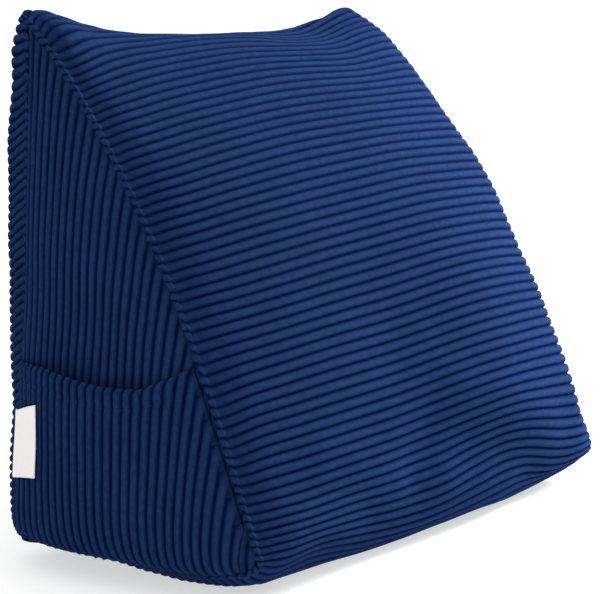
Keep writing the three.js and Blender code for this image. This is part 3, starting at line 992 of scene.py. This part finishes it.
# the second colour is the grooves' ground weave, darkened further as painted shade
mainCloth = corduroyMaterial("navyCord", (0.0073, 0.0208, 0.0715, 1), (0, 0.0050, 0.043, 1), 0.009)
pocketCloth = corduroyMaterial("navyCordPocket", (0.0070, 0.0202, 0.0700, 1), (0, 0.0048, 0.042, 1), 0.009)
tape = tapeMaterial()
print("cloth and tape finishes made")

ribs = ribTree()


def raiseRibs(piece, material):
    ribs.applyTo(piece, {"Rib height": cord["height"] * mm, "Groove share": cord["grooveShare"],
                         "Roundness": cord["roundness"], "Cloth": material})


fillCushion()
cushionCover = makeCover()
raiseRibs(cushionCover, mainCloth)
print("cushion cover made,", len(cushionCover.data.polygons), "faces")


pocketSetup = {
    "front": 0.05,
    "rear": 0.985,
    "mouthFront": 0.3,
    "thickness": 1.5,
    "clearance": 1.2,
    "gape": 9,
    "footLift": 2,
    "tuckReach": 7,  # the pocket thins into the seams over this far
    "hemDepth": 13,
    "hemPinch": 0.9,
    "foldRound": 1.6,
    "mouthPlaces": (0.25, 0.33, 0.38, 0.42, 0.55, 0.68, 0.8, 1),
    "mouthHeights": (145, 137, 133, 130, 130.5, 133, 136, 137),
    "topRow": 0.985,
    "rows": 44,
}


def panelEnds(column):
    return (sidePoint(-1, column, 0 * column + row, 0.0)[..., 2] for row in (0, 1))


def rowAtHeight(column, z):
    foot, top = panelEnds(column)
    return (z - foot) / (top - foot)


def mouthHeight(column):
    return np.interp(column, pocketSetup["mouthPlaces"], pocketSetup["mouthHeights"])


def pocketGape(column, t):
    across = (column - pocketSetup["mouthFront"]) / (pocketSetup["rear"] - pocketSetup["mouthFront"])
    inside = np.clip(across, 0, 1)
    return pocketSetup["gape"] * np.sin(np.pi * inside) * np.maximum(0, t) ** 0.7


# two skins of a sheet and the wall round their edge
def closedSheet(outer, inner):
    columns, rows = outer.shape[:2]
    size = columns * rows
    faces = gridFaces(0, columns, rows, flip=True) + gridFaces(size, columns, rows)
    edge = [c * rows for c in range(columns)] + [(columns - 1) * rows + r for r in range(1, rows - 1)]
    edge += [c * rows + rows - 1 for c in range(columns - 1, -1, -1)] + [r for r in range(rows - 2, 0, -1)]
    for a, b in zip(edge, edge[1:] + edge[:1]):
        faces.append((a, b, b + size, a + size))
    return np.concatenate([outer.reshape(-1, 3), inner.reshape(-1, 3)]) * mm, faces


def makePocket():
    count = cord["sideRibs"]
    pairs = [((rib + part) / count, part) for rib in range(count) for part in cord["phases"]]
    pairs = [pair for pair in pairs if pocketSetup["front"] <= pair[0] <= pocketSetup["rear"]]
    column = np.array([pair[0] for pair in pairs])[:, None]
    phase = np.array([pair[1] for pair in pairs])
    rows = pocketSetup["rows"]
    t = np.linspace(0, 1, rows)[None, :]
    t = t * 0.9 + 0.1 * np.sin(t * np.pi / 2)
    foot, top = panelEnds(column)
    height = top - foot
    footRow = pocketSetup["footLift"] / height
    mouthRow = np.minimum(rowAtHeight(column, mouthHeight(column)), pocketSetup["topRow"])
    row = footRow + (mouthRow - footRow) * t
    full = column + 0 * row
    reach = pocketSetup["tuckReach"]
    panelDepth = wedge["seamCorners"][0][0] - wedge["seamCorners"][2][0]
    tucked = smoothstep((1 - row) * height, 0, reach) * smoothstep(row * height, 0, reach)
    tucked = tucked * smoothstep((1 - full) * panelDepth, 0, reach)
    tucked = tucked * smoothstep(full * panelDepth, 4, 4 + reach)
    fromMouth = (mouthRow - row) * height
    atMouth = full > pocketSetup["mouthFront"]
    fold = pocketSetup["foldRound"]
    pinch = pocketSetup["hemPinch"] * np.exp(-((fromMouth - pocketSetup["hemDepth"]) / fold) ** 2) * atMouth
    folded = np.sqrt(np.clip(1 - np.clip(1 - fromMouth / fold, 0, 1) ** 2, 0.04, 1))
    thick = pocketSetup["thickness"] + cord["height"] - pinch
    thick = 0.3 + (thick * np.where(atMouth, folded, 1.0) - 0.3) * (0.15 + 0.85 * tucked)
    stand = pocketSetup["clearance"] * (0.35 + 0.65 * tucked) + pocketGape(column, t)
    inner = sidePoint(-1, full, row, stand)
    outer = sidePoint(-1, full, row, stand + thick)
    scale = np.concatenate([np.ones(outer.size // 3), np.zeros(outer.size // 3)])
    fields = {"ribPhase": np.tile(np.repeat(phase, rows), 2), "ribScale": scale}
    return linkMesh("pocketPanel", *closedSheet(outer, inner), fields)


pocketPanel = makePocket()
raiseRibs(pocketPanel, pocketCloth)
print("pocket made")

hem = {"spacing": 3.1, "length": 2.3, "thread": 0.42, "sunk": 0.55}  # sunk: share of the ribs' height


def stitchTree():
    tree = Tree("layStitches", {"Spacing": "Float", "Length": "Float", "Thread": "Float",
                                "Cloth": "Material"})
    points = tree.group.nodes.new("GeometryNodeCurveToPoints")
    points.mode = "LENGTH"
    tree.group.links.new(tree.given("Geometry"), points.inputs["Curve"])
    tree.group.links.new(tree.given("Spacing"), points.inputs["Length"])
    stitch = tree.node("GeometryNodeMeshUVSphere", {}, {"Segments": 8, "Rings": 6, "Radius": 0.5})
    thread = tree.given("Thread")
    size = tree.node("ShaderNodeCombineXYZ", {}, [thread, thread, tree.given("Length")])
    laid = tree.node("GeometryNodeInstanceOnPoints", {}, {
        "Points": points.outputs["Points"], "Instance": stitch, "Rotation": points.outputs["Rotation"],
        "Scale": size})
    tree.finish(laid, tree.given("Cloth"))
    return tree


# the hem's line of stitches crosses the ribs and dips into their grooves
def makeHemStitches():
    count = cord["sideRibs"] * 8
    column = np.linspace(pocketSetup["mouthFront"] + 0.03, pocketSetup["rear"] - 0.02, count)[:, None]
    z = mouthHeight(column) - pocketSetup["hemDepth"]
    row = rowAtHeight(column, z)
    groove = np.exp(-((np.mod(column * cord["sideRibs"] + 0.5, 1) - 0.5) / cord["grooveShare"]) ** 2)
    footRow = rowAtHeight(column, 0 * column) + 0.02
    t = (row - footRow) / (rowAtHeight(column, mouthHeight(column)) - footRow)
    stand = pocketSetup["clearance"] + pocketSetup["thickness"] + cord["height"] - pocketSetup["hemPinch"]
    stand = stand + pocketGape(column, t) - hem["sunk"] * cord["height"] * groove + hem["thread"] * 0.2
    path = sidePoint(-1, column, row, stand)[:, 0] * mm
    curve = bpy.data.curves.new("hemPath", "CURVE")
    curve.dimensions = "3D"
    spline = curve.splines.new("POLY")
    spline.points.add(len(path) - 1)
    for point, place in zip(spline.points, path):
        point.co = (*place, 1)
    line = bpy.data.objects.new("hemPath", curve)
    bpy.context.scene.collection.objects.link(line)
    return line


threadCloth = threadMaterial()
hemPath = makeHemStitches()
bpy.context.view_layer.update()
hemStitches = stitchTree().meshFrom(hemPath, "hemStitches", {
    "Spacing": hem["spacing"] * mm, "Length": hem["length"] * mm, "Thread": hem["thread"] * mm,
    "Cloth": threadCloth})
print("hem stitched,", len(hemStitches.data.polygons), "faces")


tab = {
    "front": 0.825,
    "rear": 0.998,
    "bottom": (65.5, 62),  # at its front and where it goes into the seam
    "top": (112.5, 104.5),
    "thickness": 0.8,
    "clearance": 0.6,
    "intoSeam": 3.5,
}


def makeTab():
    onPocket = pocketSetup["clearance"] + pocketSetup["thickness"] + cord["height"] + tab["clearance"]
    column = np.linspace(tab["front"], tab["rear"], 24)[:, None]
    up = np.linspace(0, 1, 30)[None, :]
    rearward = (column - tab["front"]) / (tab["rear"] - tab["front"])
    bottom, top = (tab[end][0] + (tab[end][1] - tab[end][0]) * rearward for end in ("bottom", "top"))
    z = bottom + (top - bottom) * up
    proud = onPocket + (tab["clearance"] - onPocket) * smoothstep(column, 0.955, 0.985)
    reach = np.minimum(column, pocketSetup["rear"])
    gape = pocketGape(reach, z / pocketSetup["mouthHeights"][-1])
    row = rowAtHeight(column + 0 * z, z)
    inner = sidePoint(-1, column + 0 * z, row, proud + gape)
    outer = sidePoint(-1, column + 0 * z, row, proud + gape + tab["thickness"])
    for skin in (inner, outer):
        skin[..., 1] += tab["intoSeam"] * smoothstep(rearward, 0.6, 1)
    piece = linkMesh("bareTab", *closedSheet(outer, inner))
    piece.data.materials.append(tape)
    return piece


bareTab = makeTab()
print("tab made")


studio = {
    "floorColor": (0.5, 0.5, 0.5, 1),
    "floorGlow": 0.58,  # a lit table, so contact shadows stay light
    "sky": 1.0,
    "lights": [
        ("keyLight", (0.98, -0.34, 0.57), 0.4, 38),
        ("frontLight", (0.9, -2.6, 1.3), 1.6, 2),
        ("topLight", (0.5, 0.3, 2.6), 2.0, 5),
    ],
}


def makeStudio():
    mesh = bpy.data.meshes.new("studioFloor")
    reach = 12
    mesh.from_pydata([(-reach, -reach, 0), (reach, -reach, 0), (reach, reach, 0), (-reach, reach, 0)], [],
                     [(0, 1, 2, 3)])
    floor = bpy.data.objects.new("studioFloor", mesh)
    bpy.context.scene.collection.objects.link(floor)
    paint = Paint("paleFloor")
    shader = paint.node("ShaderNodeBsdfPrincipled", {}, {
        "Base Color": studio["floorColor"], "Roughness": 0.9, "Emission Color": (1, 1, 1, 1),
        "Emission Strength": studio["floorGlow"]})
    paint.node("ShaderNodeOutputMaterial", {}, {"Surface": shader})
    mesh.materials.append(paint.material)
    world = bpy.data.worlds.new("studioSky")
    bpy.context.scene.world = world
    world.use_nodes = True
    sky = world.node_tree.nodes["Background"]
    sky.inputs[0].default_value = (1, 1, 1, 1)
    sky.inputs[1].default_value = studio["sky"]
    for name, place, size, power in studio["lights"]:
        data = bpy.data.lights.new(name, "AREA")
        data.size, data.energy = size, power
        light = bpy.data.objects.new(name, data)
        light.location = place
        light.rotation_euler = (Vector((0, 0, 0.15)) - Vector(place)).to_track_quat("-Z", "Y").to_euler()
        bpy.context.scene.collection.objects.link(light)


makeStudio()
bpy.context.scene.view_settings.view_transform = "Standard"
print("studio made")

for piece, node, slot in ((cushionCover, "cushion", "navy_cord"),
                          (pocketPanel, "side_pocket", "navy_cord_pocket"),
                          (bareTab, "seam_tab", "pale_tape")):
    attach(piece, "root")
    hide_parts(node)
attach(hemStitches, "root")
